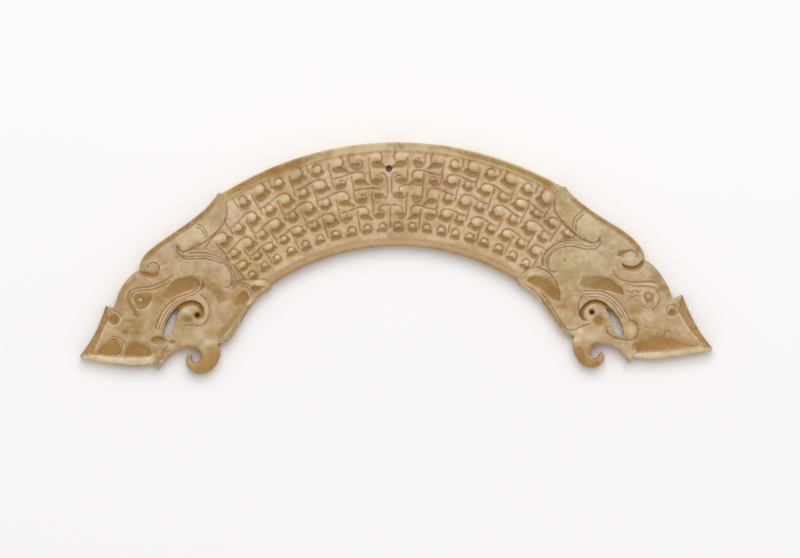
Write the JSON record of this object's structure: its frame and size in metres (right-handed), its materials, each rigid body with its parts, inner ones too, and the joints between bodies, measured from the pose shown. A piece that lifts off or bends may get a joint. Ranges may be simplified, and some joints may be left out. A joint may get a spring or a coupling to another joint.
{
  "type": "arc-shaped jade pendant",
  "caption": "Flat arc-shaped jade pendant with a dragon head at each end, carved with a field of linked curls and drilled near the crown to hang on a cord.",
  "frame": {"origin": "under the middle of the plate's box, on the surface it lies on", "axes": "+X along the width towards the right head, +Y from the hollow of the arc towards its crown, +Z out of the carved front face"},
  "size_m": [0.2114, 0.0772, 0.005],
  "materials": {
    "jade": "polished nephrite, greyish cream with pale green clouds and brown staining in the hollows and along the upper edge"
  },
  "bodies": {
    "root": {"jade_pendant": "jade"}
  },
  "joints": []
}
